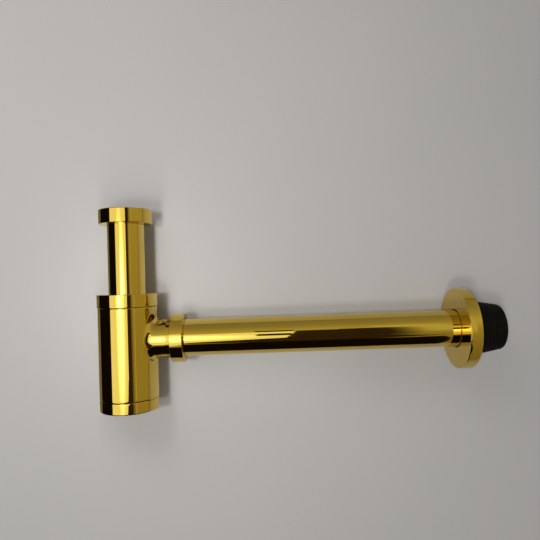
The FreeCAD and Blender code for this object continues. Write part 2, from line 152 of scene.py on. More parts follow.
def put_in_scene(bm, name, body, materials, nodes=()):
    mesh = bpy.data.meshes.new(name)
    bm.to_mesh(mesh)
    bm.free()
    mesh.shade_smooth()
    mesh.set_sharp_from_angle(angle=SHARP_ANGLE)
    for material in materials:
        mesh.materials.append(material)
    piece = bpy.data.objects.new(name, mesh)
    bpy.context.scene.collection.objects.link(piece)
    weighted = piece.modifiers.new("even_normals", "WEIGHTED_NORMAL")
    weighted.mode = "FACE_AREA"
    weighted.keep_sharp = True
    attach(piece, body)
    for node in nodes:
        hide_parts(node)


# Screw threads, as one ridge wound round a plain wall

RIDGE_BITE = 0.08
RIDGE_FOOT = 0.46
RIDGE_TOP = 0.09
RIDGE_STEPS_IN_TURN = 72
RIDGE_FADE_STEPS = 30


def wind_thread(axis, root, crest, start, end, pitch):
    """A ridge from the root radius to the crest radius that fades in and out at its ends.
    Its foot and top are half widths as shares of the pitch, and it bites a little into the wall."""
    foot_radius = root - (RIDGE_BITE if crest > root else -RIDGE_BITE)
    section = [
        (foot_radius, -RIDGE_FOOT), (crest, -RIDGE_TOP), (crest, RIDGE_TOP), (foot_radius, RIDGE_FOOT),
    ]
    steps = int((end - start - pitch) / pitch * RIDGE_STEPS_IN_TURN)
    centre = turning_centre(axis)
    bm = bmesh.new()
    corner_layer = bm.verts.layers.int.new("corner")
    verts = [bm.verts.new() for _ in section]
    for corner, vert in enumerate(verts):
        vert[corner_layer] = corner
    edges = [bm.edges.new((verts[corner - 1], verts[corner])) for corner in range(len(section))]
    for step in range(steps + 1):
        if step:
            grown = bmesh.ops.extrude_edge_only(bm, edges=edges)["geom"]
            verts = [item for item in grown if isinstance(item, bmesh.types.BMVert)]
            edges = [item for item in grown if isinstance(item, bmesh.types.BMEdge)]
            edges = [edge for edge in edges if all(vert in verts for vert in edge.verts)]
        height = min(1.0, step / RIDGE_FADE_STEPS, (steps - step) / RIDGE_FADE_STEPS)
        middle = start + pitch / 2 + pitch * step / RIDGE_STEPS_IN_TURN
        swing = Matrix.Rotation(2 * math.pi * step / RIDGE_STEPS_IN_TURN, 3, turning_direction(axis))
        for vert in verts:
            radius, shift = section[vert[corner_layer]]
            if radius == crest:
                radius = root + (crest - root) * height
            point = outline_point(axis, radius, middle + shift * pitch)
            vert.co = centre + swing @ (point - centre)
    bmesh.ops.holes_fill(bm, edges=[edge for edge in bm.edges if edge.is_boundary], sides=4)
    bmesh.ops.recalc_face_normals(bm, faces=bm.faces)
    return bm


# Shader pieces

def new_material(name):
    material = bpy.data.materials.new(name)
    material.use_nodes = True
    tree = material.node_tree
    return material, tree, tree.nodes["Principled BSDF"]


def add_node(tree, kind, **values):
    """Adds a node, with its settings by name and its inputs by their labels."""
    node = tree.nodes.new(kind)
    inputs = values.pop("inputs", {})
    for key, value in values.items():
        setattr(node, key, value)
    for label, value in inputs.items():
        node.inputs[label].default_value = value
    return node


def map_range(tree, source, low, high, to_low, to_high):
    node = add_node(tree, "ShaderNodeMapRange", inputs={
        "From Min": low, "From Max": high, "To Min": to_low, "To Max": to_high,
    })
    tree.links.new(source, node.inputs["Value"])
    return node.outputs["Result"]


def even_noise(tree, scale, detail):
    """Noise on object coordinates, the same in every direction."""
    place = add_node(tree, "ShaderNodeTexCoord")
    noise = add_node(tree, "ShaderNodeTexNoise", inputs={
        "Scale": scale, "Detail": detail, "Roughness": 0.55,
    })
    tree.links.new(place.outputs["Object"], noise.inputs["Vector"])
    return noise.outputs["Fac"]


def calculate(tree, operation, source, number_or_source):
    node = add_node(tree, "ShaderNodeMath", operation=operation)
    tree.links.new(source, node.inputs[0])
    if isinstance(number_or_source, float):
        node.inputs[1].default_value = number_or_source
    else:
        tree.links.new(number_or_source, node.inputs[1])
    return node.outputs["Value"]


def blend_colours(tree, mask, first, second):
    node = add_node(tree, "ShaderNodeMix", data_type="RGBA")
    colours = [socket for socket in node.inputs if socket.type == "RGBA"]
    colours[0].default_value = (*first, 1.0)
    colours[1].default_value = (*second, 1.0)
    tree.links.new(mask, node.inputs["Factor"])
    return [socket for socket in node.outputs if socket.type == "RGBA"][0]


def blend_shaders(tree, mask, first, second):
    node = add_node(tree, "ShaderNodeMixShader")
    for socket, source in zip(node.inputs, (mask, first, second)):
        tree.links.new(source, socket)
    return node.outputs["Shader"]


def bump(tree, height, distance, shader):
    node = add_node(tree, "ShaderNodeBump", inputs={"Strength": 1.0, "Distance": distance})
    tree.links.new(height, node.inputs["Height"])
    tree.links.new(node.outputs["Normal"], shader.inputs["Normal"])


# Handling marks, a node group that every material of the trap shares

def new_group(name, outputs, inputs):
    group = bpy.data.node_groups.new(name, "ShaderNodeTree")
    for label, default in inputs.items():
        socket = group.interface.new_socket(name=label, in_out="INPUT", socket_type="NodeSocketFloat")
        socket.default_value = default
    for label in outputs:
        group.interface.new_socket(name=label, in_out="OUTPUT", socket_type="NodeSocketFloat")
    start = group.nodes.new("NodeGroupInput")
    end = group.nodes.new("NodeGroupOutput")
    return group, start, end


def make_handling_marks():
    """Smears of wiping, fine polishing lines and the slow waviness of a buffed surface."""
    group, start, end = new_group(
        "handling_marks", ["Smears", "Lines", "Waviness"],
        {"Smear Size": 40.0, "Line Count": 1400.0},
    )
    place = add_node(group, "ShaderNodeTexCoord")
    smears = add_node(group, "ShaderNodeTexNoise", inputs={
        "Detail": 4.0, "Roughness": 0.6, "Distortion": 0.8,
    })
    group.links.new(place.outputs["Object"], smears.inputs["Vector"])
    group.links.new(start.outputs["Smear Size"], smears.inputs["Scale"])
    group.links.new(map_range(group, smears.outputs["Fac"], 0.48, 0.78, 0.0, 1.0), end.inputs["Smears"])
    flatten = add_node(group, "ShaderNodeMapping", inputs={"Scale": (0.02, 0.02, 1.0)})
    lines = add_node(group, "ShaderNodeTexNoise", inputs={"Detail": 3.0, "Roughness": 0.7})
    group.links.new(place.outputs["Object"], flatten.inputs["Vector"])
    group.links.new(flatten.outputs["Vector"], lines.inputs["Vector"])
    group.links.new(start.outputs["Line Count"], lines.inputs["Scale"])
    group.links.new(map_range(group, lines.outputs["Fac"], 0.5, 0.8, 0.0, 1.0), end.inputs["Lines"])
    waves = add_node(group, "ShaderNodeTexNoise", inputs={"Scale": 55.0, "Detail": 1.0})
    group.links.new(place.outputs["Object"], waves.inputs["Vector"])
    group.links.new(waves.outputs["Fac"], end.inputs["Waviness"])
    return group


def place_marks(tree, marks, smear_size, line_count):
    return add_node(tree, "ShaderNodeGroup", node_tree=marks, inputs={
        "Smear Size": smear_size, "Line Count": line_count,
    })


# Materials

def make_polished_gold(marks):
    bright_gold = (0.715, 0.515, 0.108)
    deep_gold = (0.690, 0.485, 0.094)
    clean_roughness = 0.035
    smear_roughness = 0.035
    line_roughness = 0.02
    wave_height = 1.2e-5
    material, tree, shader = new_material("polished_gold")
    shader.inputs["Metallic"].default_value = 1.0
    wear = place_marks(tree, marks, smear_size=40.0, line_count=1400.0)
    tint = map_range(tree, even_noise(tree, scale=18.0, detail=3.0), 0.35, 0.65, 0.0, 1.0)
    tree.links.new(blend_colours(tree, tint, bright_gold, deep_gold), shader.inputs["Base Color"])
    smear_part = calculate(tree, "MULTIPLY", wear.outputs["Smears"], smear_roughness)
    line_part = calculate(tree, "MULTIPLY", wear.outputs["Lines"], line_roughness)
    rough = calculate(tree, "ADD", calculate(tree, "ADD", smear_part, line_part), clean_roughness)
    tree.links.new(rough, shader.inputs["Roughness"])
    bump(tree, wear.outputs["Waviness"], wave_height, shader)
    return material


def make_bare_brass(marks):
    clean_brass = (0.72, 0.50, 0.20)
    dull_brass = (0.50, 0.33, 0.13)
    line_height = 1.0e-5
    material, tree, shader = new_material("bare_brass")
    shader.inputs["Metallic"].default_value = 1.0
    wear = place_marks(tree, marks, smear_size=90.0, line_count=2600.0)
    colour = blend_colours(tree, wear.outputs["Smears"], clean_brass, dull_brass)
    tree.links.new(colour, shader.inputs["Base Color"])
    rough = map_range(tree, wear.outputs["Lines"], 0.0, 1.0, 0.26, 0.42)
    tree.links.new(rough, shader.inputs["Roughness"])
    bump(tree, wear.outputs["Lines"], line_height, shader)
    return material


def make_black_rubber(marks):
    clean_black = (0.0026, 0.0026, 0.0028)
    dusty_black = (0.0070, 0.0066, 0.0062)
    grain_height = 4.0e-5
    material, tree, shader = new_material("black_rubber")
    shader.inputs["Specular IOR Level"].default_value = 0.10
    dust = place_marks(tree, marks, smear_size=120.0, line_count=900.0)
    colour = blend_colours(tree, dust.outputs["Smears"], clean_black, dusty_black)
    tree.links.new(colour, shader.inputs["Base Color"])
    grain = even_noise(tree, scale=2600.0, detail=2.0)
    tree.links.new(map_range(tree, grain, 0.3, 0.7, 0.55, 0.75), shader.inputs["Roughness"])
    bump(tree, grain, grain_height, shader)
    return material


def make_white_nylon(marks):
    clean_white = (0.80, 0.79, 0.74)
    aged_white = (0.72, 0.71, 0.66)
    line_height = 1.0e-5
    material, tree, shader = new_material("white_nylon")
    moulding = place_marks(tree, marks, smear_size=150.0, line_count=1800.0)
    colour = blend_colours(tree, moulding.outputs["Smears"], clean_white, aged_white)
    tree.links.new(colour, shader.inputs["Base Color"])
    rough = map_range(tree, moulding.outputs["Lines"], 0.0, 1.0, 0.32, 0.46)
    tree.links.new(rough, shader.inputs["Roughness"])
    bump(tree, moulding.outputs["Lines"], line_height, shader)
    return material


handling_marks = make_handling_marks()
gold = make_polished_gold(handling_marks)
brass = make_bare_brass(handling_marks)
rubber = make_black_rubber(handling_marks)
nylon = make_white_nylon(handling_marks)


# Kinds of piece that occur more than once

def finish_gold_piece(bm, axis, name, node, body):
    dull_bores(bm, axis)
    put_in_scene(bm, name, body, [gold, brass], [node])


def make_thread(name, body, axis, root, crest, start, end, pitch=SCREW_PITCH):
    ridge = wind_thread(axis, root, crest, start, end, pitch)
    put_in_scene(ridge, name, body, [brass])


def make_plain_ring(name, node, body, material, axis, radii, places, edge):
    """A ring between two radii and two places, with its four edges eased."""
    inner, outer = radii
    low, high = places
    bm = turn(axis, [(outer, low), (outer, high), (inner, high), (inner, low)])
    for radius in radii:
        for place in places:
            round_ring(bm, axis, radius, place, edge, segments=3)
    put_in_scene(bm, name, body, [material], [node])


def make_cone_seal(name, node, body, axis, outline, edge):
    """A tapered rubber seal, with its outer corners eased."""
    bm = turn(axis, outline)
    for radius, place in outline[1:-1]:
        round_ring(bm, axis, radius, place, edge, segments=3)
    put_in_scene(bm, name, body, [rubber], [node])


def make_ring_of_round_section(name, node, body, axis, radius, along, half_thickness):
    bm = bmesh.new()
    circle = bmesh.ops.create_circle(bm, segments=28, radius=half_thickness * MM, cap_ends=False)
    bmesh.ops.rotate(bm, verts=circle["verts"], matrix=Matrix.Rotation(math.pi / 2, 3, "X"))
    bmesh.ops.translate(bm, verts=circle["verts"], vec=outline_point(axis, radius, along))
    spin_round(bm, bm.verts[:] + bm.edges[:], axis)
    put_in_scene(bm, name, body, [rubber], [node])


# Inlet side: union nut, inlet tube and washer

COLLAR = 19.175
COLLAR_BOTTOM = -10.35
COLLAR_TOP = -8.75
WASHER_TOP = -6.75


def make_union_nut():
    outer = 22.85
    relief = 20.95
    mouth = 0.0
    mouth_lead_in = 0.35
    lip_top = -10.4
    bottom = -12.4
    bm = turn(BOTTLE, [
        (outer, bottom), (outer, mouth), (relief + mouth_lead_in, mouth), (relief, mouth - mouth_lead_in),
        (relief, lip_top), (NUT_BORE, lip_top), (NUT_BORE, bottom),
    ])
    round_ring(bm, BOTTLE, outer, mouth, NUT_EDGE)
    round_ring(bm, BOTTLE, outer, bottom, NUT_EDGE)
    round_ring(bm, BOTTLE, NUT_BORE, bottom, size=0.2, segments=2)
    finish_gold_piece(bm, BOTTLE, "inlet_union_nut", "union_nut", "union_nut")
    make_thread("union_nut_thread", "union_nut", BOTTLE, relief, crest=19.5, start=-9.2, end=-0.2,
                pitch=WASTE_PITCH)


def make_inlet_tube():
    foot = -152.0
    bm = turn(BOTTLE, [
        (TUBE, foot), (TUBE, COLLAR_BOTTOM), (COLLAR, COLLAR_BOTTOM), (COLLAR, COLLAR_TOP),
        (TUBE_BORE, COLLAR_TOP), (TUBE_BORE, foot),
    ])
    round_ring(bm, BOTTLE, TUBE, foot, size=0.3, segments=3)
    round_ring(bm, BOTTLE, COLLAR, COLLAR_BOTTOM, size=0.25, segments=3)
    round_ring(bm, BOTTLE, COLLAR, COLLAR_TOP, size=0.25, segments=3)
    finish_gold_piece(bm, BOTTLE, "polished_inlet_tube", "inlet_tube", "inlet")


make_union_nut()
make_inlet_tube()
make_plain_ring("flat_inlet_washer", "inlet_washer", "inlet", rubber,
                BOTTLE, (TUBE_BORE, COLLAR), (COLLAR_TOP, WASHER_TOP), edge=0.25)


# Clamp on top of the bottle: nut, slip ring and tapered seal

def make_clamp_nut():
    outer = 25.8
    root = 23.35
    top = -73.4
    plate_bottom = -75.6
    bottom = -84.8
    outline = eased_edge(outer, bottom, inward=0.35, length=0.9, towards=1)[::-1]
    outline += [(outer, top), (NUT_BORE, top), (NUT_BORE, plate_bottom), (root, plate_bottom)]
    outline += [(root, bottom + LEAD_IN), (root + LEAD_IN, bottom)]
    bm = turn(BOTTLE, outline)
    round_ring(bm, BOTTLE, outer, top, NUT_EDGE)
    round_ring(bm, BOTTLE, NUT_BORE, top, size=0.2, segments=3)
    finish_gold_piece(bm, BOTTLE, "smooth_clamp_nut", "clamp_nut", "clamp_nut")
    make_thread("clamp_nut_thread", "clamp_nut", BOTTLE, root, crest=22.68, start=-84.7, end=-76.4)


def make_clamp_seals():
    ring_rim = 22.15
    ring_bottom = -76.85
    ring_top = -75.65
    rim = 20.2
    rim_bottom = -78.0
    tip = 16.55
    tip_bottom = -82.1
    seal_top = -76.9
    make_plain_ring("clamp_slip_ring", "clamp_friction_ring", "clamp_ring", nylon,
                    BOTTLE, (RING_BORE, ring_rim), (ring_bottom, ring_top), RING_EDGE)
    make_cone_seal("inlet_cone_seal", "clamp_cone_seal", "clamp_seal", BOTTLE, [
        (SEAL_BORE, tip_bottom), (tip, tip_bottom), (rim, rim_bottom), (rim, seal_top),
        (SEAL_BORE, seal_top),
    ], edge=0.15)


make_clamp_nut()
make_clamp_seals()


# Bottle: a turned wall with a window, from which the branch grows loop by loop

WALL = 25.3
WALL_INSIDE = 23.2
WALL_BOTTOM = -163.6
SHOULDER = -85.0
SHOULDER_BOTTOM = -89.0
NECK_ROOT = 21.75
NECK_BORE = 16.5
NECK_TOP = -78.0
WINDOW_ANGLE = math.radians(60.0)
WINDOW_HALF_HEIGHT = 23.0
WINDOW_ROWS = 42
BRANCH = 17.1
BRANCH_BORE = 16.3
BRANCH_ROOT = 18.45
BRANCH_MOUTH = 18.1
BRANCH_LIP_PLACE = 39.0
BRANCH_END = 45.0
JUNCTION_ROUND = 2.2
JUNCTION_WIDENING = 12.0
FLARE_ROUND = 8.0
FLARE_START = 34.67
FLARE_TILT = math.radians(9.27)
ARC_STEPS = 8


def branch_turn(angle, height):
    """Where a vertex of the window stands round the branch."""
    return math.atan2(height, WALL * angle)


def on_wall(radius, angle, height):
    return Vector((radius * math.cos(angle), radius * math.sin(angle), OUTLET_AXIS + height))


def on_branch(along, radius, swing):
    return Vector((along, radius * math.cos(swing), OUTLET_AXIS + radius * math.sin(swing)))


def junction_round(swing):
    """The polished corner is wider in front and behind, where wall and branch meet at a flat angle."""
    return JUNCTION_ROUND + JUNCTION_WIDENING * math.cos(swing) ** 4


def ball_centre(swing):
    """Centre of the ball that rolls in the corner between the wall and the branch."""
    reach = BRANCH + junction_round(swing)
    across = reach * math.cos(swing)
    along = math.sqrt((WALL + junction_round(swing)) ** 2 - across ** 2)
    return Vector((along, across, OUTLET_AXIS + reach * math.sin(swing)))


def junction_point(swing, share):
    """A point of the rounded corner: on the wall at share 0 and on the branch at share 1."""
    centre = ball_centre(swing)
    radius = junction_round(swing)
    shrink = WALL / (WALL + radius)
    to_wall = Vector((centre.x * shrink, centre.y * shrink, centre.z)) - centre
    to_branch = on_branch(centre.x, BRANCH, swing) - centre
    return centre + to_wall.normalized().slerp(to_branch.normalized(), share) * radius


def wall_blend(radius, angle, height, target, share):
    """A point on the wall between a window vertex and a target point of the wall."""
    target_angle = math.atan2(target.y, target.x)
    target_height = target.z - OUTLET_AXIS
    blended_angle = angle + (target_angle - angle) * share
    return on_wall(radius, blended_angle, height + (target_height - height) * share)


def ring_loop(along, radius):
    return lambda angle, height: on_branch(along, radius, branch_turn(angle, height))


def outside_places():
    """The outer loops of the branch in order, each a function from a window vertex to a point."""
    def wall_loop(share):
        def place(angle, height):
            target = junction_point(branch_turn(angle, height), 0.0)
            return wall_blend(WALL, angle, height, target, share)
        return place

    def corner_loop(share):
        return lambda angle, height: junction_point(branch_turn(angle, height), share)

    def neck_loop(share):
        def place(angle, height):
            swing = branch_turn(angle, height)
            start = ball_centre(swing).x
            return on_branch(start + (FLARE_START - start) * share, BRANCH, swing)
        return place

    wall_shares = (0.3, 0.55, 0.75, 0.9, 0.97, 1.0)
    neck_shares = (0.06, 0.3, 0.65, 0.94, 1.0)
    places = [wall_loop(share) for share in wall_shares]
    places += [corner_loop(step / ARC_STEPS) for step in range(1, ARC_STEPS + 1)]
    places += [neck_loop(share) for share in neck_shares]
    for step in range(1, ARC_STEPS + 1):
        tilt = FLARE_TILT * step / ARC_STEPS
        rise = FLARE_ROUND * (1.0 - math.cos(tilt))
        places.append(ring_loop(FLARE_START + FLARE_ROUND * math.sin(tilt), BRANCH + rise))
    flare_end = [(37.5, 17.455), (38.75, 17.659), (38.93, 17.66), (BRANCH_LIP_PLACE, 17.6)]
    screwed_end = [(BRANCH_LIP_PLACE, BRANCH_ROOT), (44.4, BRANCH_ROOT), (BRANCH_END, BRANCH_MOUTH)]
    return places + [ring_loop(along, radius) for along, radius in flare_end + screwed_end]


def inside_places():
    """The inner loops of the branch in order, from the window to the seat at its mouth."""
    def wall_loop(share):
        def place(angle, height):
            swing = branch_turn(angle, height)
            across = BRANCH_BORE * math.cos(swing)
            target = on_branch(math.sqrt(WALL_INSIDE ** 2 - across ** 2), BRANCH_BORE, swing)
            return wall_blend(WALL_INSIDE, angle, height, target, share)
        return place

    rings = [(30.0, BRANCH_BORE), (40.9, BRANCH_BORE), (41.0, BRANCH_BORE), (BRANCH_END, BRANCH_MOUTH)]
    wall_shares = (0.4, 0.75, 1.0)
    places = [wall_loop(share) for share in wall_shares]
    return places + [ring_loop(along, radius) for along, radius in rings]


def in_window(face):
    """Whether a face is in the window, which only the outer and the inner wall have."""
    inside_both_walls = 20.0
    middle = face.calc_center_median() / MM
    beside = abs(math.atan2(middle.y, middle.x)) < WINDOW_ANGLE
    level = abs(middle.z - OUTLET_AXIS) < WINDOW_HALF_HEIGHT
    return beside and level and Vector((middle.x, middle.y)).length > inside_both_walls


def bottle_outline():
    lowest_row = -159.0
    neck_edge = 21.3
    neck_lead_in = 0.5
    seat_rim = 20.5
    seat_bottom = -82.5
    rows = []
    for row in range(WINDOW_ROWS + 1):
        rows.append(OUTLET_AXIS - WINDOW_HALF_HEIGHT + 2 * WINDOW_HALF_HEIGHT * row / WINDOW_ROWS)
    outline = eased_edge(WALL, WALL_BOTTOM, inward=0.3, length=1.8, towards=1)[::-1]
    outline += [(WALL, lowest_row)]
    outline += [(WALL, row) for row in rows]
    outline += eased_edge(WALL, SHOULDER, inward=0.3, length=1.2, towards=-1)
    outline += [(NECK_ROOT, SHOULDER), (NECK_ROOT, NECK_TOP - neck_lead_in), (neck_edge, NECK_TOP)]
    outline += [(seat_rim, NECK_TOP), (NECK_BORE, seat_bottom)]
    outline += [(NECK_BORE, SHOULDER_BOTTOM), (WALL_INSIDE, SHOULDER_BOTTOM)]
    outline += [(WALL_INSIDE, row) for row in reversed(rows)]
    outline += [(WALL_INSIDE, WALL_BOTTOM)]
    return outline


def grow_loop(bm, edges, place, angle_layer, height_layer):
    """Extrudes a loop of open edges and puts each new vertex in its place."""
    grown = bmesh.ops.extrude_edge_only(bm, edges=edges)["geom"]
    verts = {item for item in grown if isinstance(item, bmesh.types.BMVert)}
    for vert in verts:
        vert.co = place(vert[angle_layer], vert[height_layer]) * MM
    loop = [item for item in grown if isinstance(item, bmesh.types.BMEdge)]
    return [edge for edge in loop if all(vert in verts for vert in edge.verts)]


def grow_branch(bm):
    """Grows the branch's outer and inner walls from the edges of the window."""
    near_wall = 0.1
    angle_layer = bm.verts.layers.float.new("window_angle")
    height_layer = bm.verts.layers.float.new("window_height")
    for vert in bm.verts:
        vert[angle_layer] = math.atan2(vert.co.y, vert.co.x)
        vert[height_layer] = vert.co.z / MM - OUTLET_AXIS
    open_edges = [edge for edge in bm.edges if edge.is_boundary]
    walls = ((WALL, outside_places(), POLISHED), (WALL_INSIDE, inside_places(), BARE))
    for radius, places, finish in walls:
        loop = []
        for edge in open_edges:
            if all(abs(vert.co.xy.length / MM - radius) < near_wall for vert in edge.verts):
                loop.append(edge)
        before = set(bm.faces)
        for place in places:
            loop = grow_loop(bm, loop, place, angle_layer, height_layer)
        for face in set(bm.faces) - before:
            face.material_index = finish
    close_up(bm)


def make_trap_body():
    bm = turn(BOTTLE, bottle_outline())
    dull_bores(bm, BOTTLE)
    bmesh.ops.delete(bm, geom=[face for face in bm.faces if in_window(face)], context="FACES")
    grow_branch(bm)
    put_in_scene(bm, "bottle_and_branch", "bottle", [gold, brass], ["trap_body"])
    make_thread("bottle_neck_thread", "bottle", BOTTLE, NECK_ROOT, crest=22.45, start=-84.9, end=-77.9)
    make_thread("branch_thread", "bottle", OUTLET, BRANCH_ROOT, crest=19.05, start=BRANCH_LIP_PLACE,
                end=BRANCH_END)


make_trap_body()


# Cleaning cup and its ring

def make_cleaning_cup():
    bottom = -173.5
    floor = -170.5
    rim = -163.8
    highest_row = -167.0
    shoulder = 23.05
    groove = 21.0
    groove_bottom = -163.0
    groove_top = -160.4
    thread_root = 22.4
    spigot_top = -155.8
    spigot_edge = 22.1
    spigot_lead_in = 0.4
    bore = 19.85
    outline = [(0.0, bottom), (WALL, bottom), (WALL, highest_row)]
    outline += eased_edge(WALL, rim, inward=0.3, length=1.2, towards=-1)
    outline += [(shoulder, rim), (shoulder, groove_bottom), (groove, groove_bottom), (groove, groove_top)]
    outline += [(thread_root, groove_top), (thread_root, spigot_top - spigot_lead_in)]
    outline += [(spigot_edge, spigot_top), (bore, spigot_top), (bore, floor), (0.0, floor)]
    bm = turn(BOTTLE, outline, closed=False)
    round_ring(bm, BOTTLE, WALL, bottom, size=1.0, segments=6)
    round_ring(bm, BOTTLE, bore, floor, size=0.8, segments=4)
    finish_gold_piece(bm, BOTTLE, "screwed_cleaning_cup", "cleaning_cup", "cup")
    make_thread("cleaning_cup_thread", "cup", BOTTLE, thread_root, crest=23.02, start=groove_top,
                end=spigot_top)


make_cleaning_cup()
make_ring_of_round_section("cup_seal_ring", "cup_o_ring", "cup_ring", BOTTLE,
                           radius=22.1, along=-161.7, half_thickness=1.0)


# Outlet side: nut, slip ring, tapered seal, tube, flange and wall seal

def make_outlet_nut():
    outer = 21.2
    root = 19.85
    start = 39.2
    plate_start = 47.8
    end = 50.2
    bm = turn(OUTLET, [
        (outer, start), (outer, end), (NUT_BORE, end), (NUT_BORE, plate_start), (root, plate_start),
        (root, start + LEAD_IN), (root + LEAD_IN, start),
    ])
    round_ring(bm, OUTLET, outer, start, size=0.5)
    round_ring(bm, OUTLET, outer, end, NUT_EDGE)
    round_ring(bm, OUTLET, NUT_BORE, end, size=0.2, segments=3)
    finish_gold_piece(bm, OUTLET, "smooth_outlet_nut", "outlet_nut", "outlet_nut")
    make_thread("outlet_nut_thread", "outlet_nut", OUTLET, root, crest=19.27, start=39.3, end=47.0)


def make_outlet_seals():
    ring_rim = 18.85
    ring_start = 46.55
    ring_end = 47.75
    rim = 17.8
    rim_start = 45.0
    tip = 16.55
    tip_start = 42.2
    seal_end = 46.5
    make_plain_ring("outlet_slip_ring", "outlet_friction_ring", "outlet_ring", nylon,
                    OUTLET, (RING_BORE, ring_rim), (ring_start, ring_end), RING_EDGE)
    make_cone_seal("outlet_tapered_seal", "outlet_cone_seal", "outlet_seal", OUTLET, [
        (SEAL_BORE, tip_start), (tip, tip_start), (rim, rim_start), (rim, seal_end),
        (SEAL_BORE, seal_end),
    ], edge=0.12)


def make_outlet_tube():
    ends = (27.0, 327.0)
    start, end = ends
    bm = turn(OUTLET, [(TUBE, start), (TUBE, end), (TUBE_BORE, end), (TUBE_BORE, start)])
    for radius in (TUBE_BORE, TUBE):
        for place in ends:
            round_ring(bm, OUTLET, radius, place, size=0.25, segments=3)
    finish_gold_piece(bm, OUTLET, "polished_outlet_tube", "outlet_tube", "outlet")


def make_wall_flange():
    outer = 35.2
    crown = 0.12
    half_steps = 6
    front = 287.7
    back = 298.1
    rim_edge = outer - crown
    rim_middle = (front + back) / 2
    half_depth = (back - front) / 2
    hollow = 33.0
    hollow_floor = 289.9
    hub = 19.9
    hub_end = 295.7
    groove = 18.6
    groove_start = 290.7
    groove_end = 293.7
    bore = 16.55
    outline = []
    for step in range(-half_steps, half_steps + 1):
        share = step / half_steps
        outline.append((outer - crown * share ** 2, rim_middle + half_depth * step / half_steps))
    outline += [(hollow, back), (hollow, hollow_floor), (hub, hollow_floor), (hub, hub_end)]
    outline += [(bore, hub_end), (bore, groove_end), (groove, groove_end)]
    outline += [(groove, groove_start), (bore, groove_start), (bore, front)]
    bm = turn(OUTLET, outline)
    round_ring(bm, OUTLET, rim_edge, front, size=0.8, segments=8)
    round_ring(bm, OUTLET, rim_edge, back, size=0.8, segments=8)
    round_ring(bm, OUTLET, hollow, back, size=0.4, segments=4)
    round_ring(bm, OUTLET, bore, front, size=0.8, segments=5)
    round_ring(bm, OUTLET, hollow, hollow_floor, size=0.8, segments=4)
    round_ring(bm, OUTLET, hub, hollow_floor, size=0.6, segments=4)
    finish_gold_piece(bm, OUTLET, "round_wall_flange", "wall_flange", "flange")


def make_wall_seal():
    ribs = 9
    start = 296.0
    end = 326.0
    first_crest = 24.7
    taper = 5.4
    rib_depth = 0.8
    crest_share = 0.6
    slope_end_share = 0.85
    pitch = (end - start) / ribs
    corners = []
    for rib in range(ribs):
        crest = first_crest - taper * rib / ribs
        rib_start = start + pitch * rib
        corners += [(crest, rib_start), (crest, rib_start + crest_share * pitch)]
        corners += [(crest - rib_depth, rib_start + slope_end_share * pitch)]
    last_radius = corners[-1][0]
    bm = turn(OUTLET, [(SEAL_BORE, start)] + corners + [(last_radius, end), (SEAL_BORE, end)])
    for radius, along in corners:
        round_ring(bm, OUTLET, radius, along, size=0.22, segments=3)
    put_in_scene(bm, "ribbed_wall_seal", "outlet", [rubber], ["wall_seal"])


make_outlet_nut()
make_outlet_seals()
make_outlet_tube()
make_wall_flange()
make_ring_of_round_section("flange_hub_ring", "flange_grip_ring", "flange_grip", OUTLET,
                           radius=17.3, along=292.2, half_thickness=1.2)
make_wall_seal()


# Stage, in metres: board behind the trap, cards for the reflections, lamps, world and camera

WARM_BLACK = (1.0, 0.62, 0.35)
SOFT_BLACK = (1.0, 0.7, 0.5)
DIM = 0.03
DARKEST = 0.006
LAMP_WHITE = (1.0, 0.99, 0.985)
BOUNCE_WHITE = (1.0, 0.99, 0.97)


def make_sheet(name, corner, along, up):
    """A flat sheet from one corner and its two edges. It faces the way of their cross product."""
    bm = bmesh.new()
    bmesh.ops.create_grid(bm, x_segments=1, y_segments=1, size=0.5)
    normal = along.cross(up).normalized()
    edges_and_normal = Matrix((along, up, normal)).transposed()
    bmesh.ops.transform(bm, matrix=edges_and_normal.to_4x4(), verts=bm.verts)
    bmesh.ops.translate(bm, verts=bm.verts, vec=corner + (along + up) / 2)
    mesh = bpy.data.meshes.new(name)
    bm.to_mesh(mesh)
    bm.free()
    sheet = bpy.data.objects.new(name, mesh)
    bpy.context.scene.collection.objects.link(sheet)
    return sheet


def make_board():
    """The board that the trap lies on. It is clear from behind."""
    size = 10.0
    middle_along = 0.12
    behind_axis = 0.0259
    slope = 0.0325
    light_grey = (0.632, 0.616, 0.600)
    dark_grey = (0.604, 0.592, 0.578)
    along = Vector((1.0, slope, 0.0)) * size
    up = Vector((0.0, 0.0, size))
    middle = Vector((middle_along, behind_axis + middle_along * slope, -0.08))
    board = make_sheet("pale_board", middle - (along + up) / 2, along, up)
    material, tree, shader = new_material("pale_board")
    shader.inputs["Roughness"].default_value = 0.65
    shader.inputs["Specular IOR Level"].default_value = 0.2
    cloud = map_range(tree, even_noise(tree, scale=3.0, detail=2.0), 0.3, 0.7, 0.0, 1.0)
    tree.links.new(blend_colours(tree, cloud, light_grey, dark_grey), shader.inputs["Base Color"])
    behind = add_node(tree, "ShaderNodeNewGeometry").outputs["Backfacing"]
    clear = add_node(tree, "ShaderNodeBsdfTransparent").outputs["BSDF"]
    surface = blend_shaders(tree, behind, shader.outputs["BSDF"], clear)
    tree.links.new(surface, tree.nodes["Material Output"].inputs["Surface"])
    board.data.materials.append(material)


